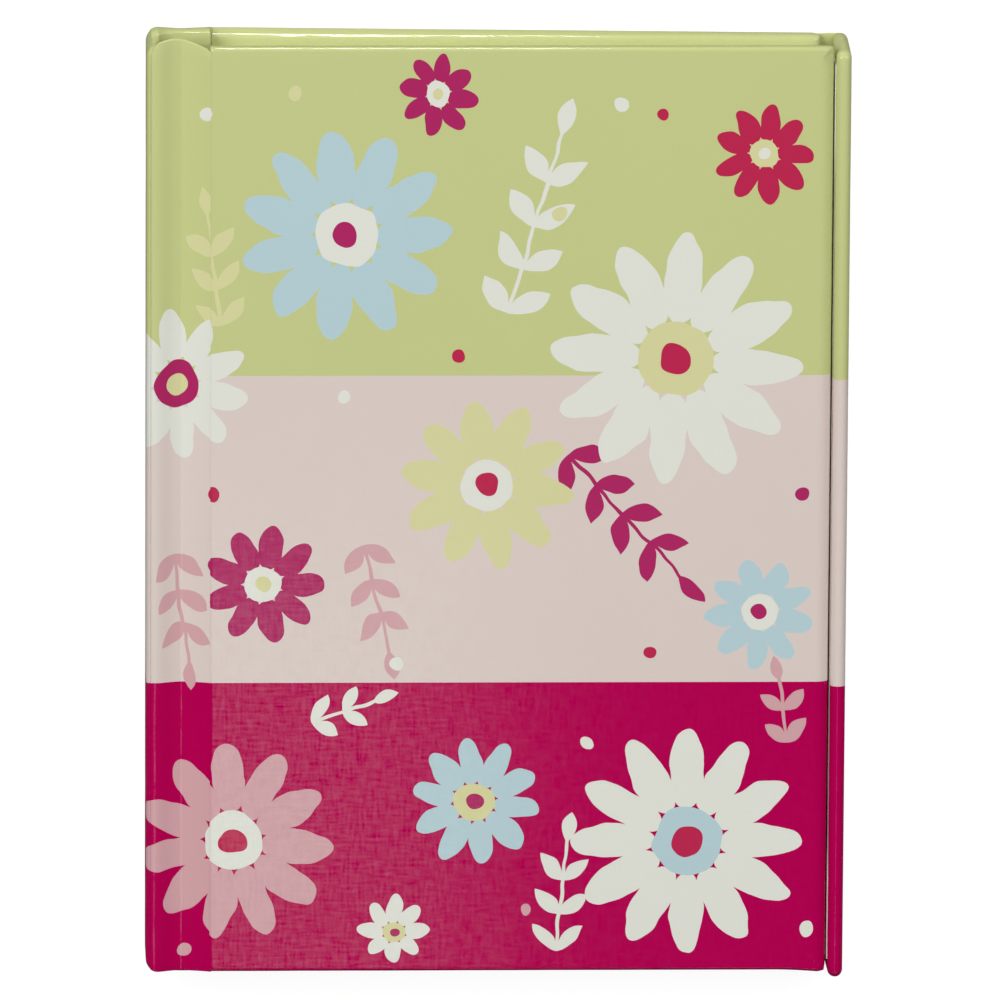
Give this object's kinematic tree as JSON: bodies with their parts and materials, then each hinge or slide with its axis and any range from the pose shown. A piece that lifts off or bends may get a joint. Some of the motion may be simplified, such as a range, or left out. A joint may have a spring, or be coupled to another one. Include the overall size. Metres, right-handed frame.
{
  "type": "magnetic closure journal",
  "caption": "Case-bound journal lying on its back cover, with a hinged front cover, a leaning spine, turning leaves and a magnetic flap along its fore edge.",
  "frame": {"origin": "on the surface the journal lies on, under the middle of its outline", "axes": "+X to the fore edge and its flap, +Y to the head, +Z out of the front cover"},
  "size_m": [0.1384, 0.187, 0.0147],
  "materials": {
    "printed_paper": "printed paper laminated with gloss film, faint woven grain",
    "greyboard": "raw grey millboard",
    "endpaper": "uncoated white paper",
    "leaf_paper": "uncoated writing paper",
    "kraft_paper": "brown kraft paper",
    "thread": "waxed linen thread",
    "mull_cloth": "starched open-weave cotton",
    "band_cloth": "woven cotton band",
    "magnet_plating": "nickel plating"
  },
  "bodies": {
    "back_cover": {"back_board": "greyboard", "back_covering": "printed_paper", "back_joint_strip": "printed_paper", "back_pastedown": "endpaper", "flap_joint_strip": "printed_paper", "back_flyleaf": "endpaper", "front_endpaper_hinge": "endpaper", "section_1_fold": "leaf_paper", "section_2": "leaf_paper", "section_3": "leaf_paper", "section_4": "leaf_paper", "section_5": "leaf_paper", "sewing_thread": "thread", "mull": "mull_cloth", "block_liner": "kraft_paper", "head_band": "band_cloth", "tail_band": "band_cloth"},
    "spine": {"spine_board": "greyboard", "spine_covering": "printed_paper", "spine_liner": "kraft_paper", "front_joint_strip": "printed_paper"},
    "front_cover": {"front_board": "greyboard", "front_covering": "printed_paper", "front_pastedown": "endpaper", "cover_magnet_upper": "magnet_plating", "cover_magnet_lower": "magnet_plating"},
    "front_flyleaf": {"front_flyleaf": "endpaper"},
    "first_leaves": {"section_1_leaves": "leaf_paper"},
    "flap": {"flap_board": "greyboard", "flap_covering": "printed_paper", "flap_lining": "endpaper", "flap_magnet_upper": "magnet_plating", "flap_magnet_lower": "magnet_plating"}
  },
  "joints": [
    {"name": "front_cover_hinge", "type": "hinge", "parent": "spine", "child": "front_cover", "pos_m": [-0.06215, 0.0005, 0.0132], "axis": [0, -1, 0], "range_deg": [0, 153]},
    {"name": "spine_lean", "type": "hinge", "parent": "back_cover", "child": "spine", "pos_m": [-0.06795, 0.0005, 0.0012], "axis": [0, -1, 0], "range_deg": [0, 30.6]},
    {"name": "flyleaf_turn", "type": "hinge", "parent": "back_cover", "child": "front_flyleaf", "pos_m": [-0.06215, 0.0005, 0.0132], "axis": [0, -1, 0], "range_deg": [0, 168.3]},
    {"name": "leaves_turn", "type": "hinge", "parent": "back_cover", "child": "first_leaves", "pos_m": [-0.06215, 0.0005, 0.0132], "axis": [0, -1, 0], "range_deg": [0, 153]},
    {"name": "flap_hinge", "type": "hinge", "parent": "back_cover", "child": "flap", "pos_m": [0.06765, -0.0005, 0.0015], "axis": [0, 1, 0], "range_deg": [0, 90]}
  ],
  "couplings": [
    {"joint": "spine_lean", "follows": "front_cover_hinge", "ratio": 0.2},
    {"joint": "flyleaf_turn", "follows": "front_cover_hinge", "ratio": 1.1},
    {"joint": "leaves_turn", "follows": "front_cover_hinge", "ratio": 1}
  ]
}
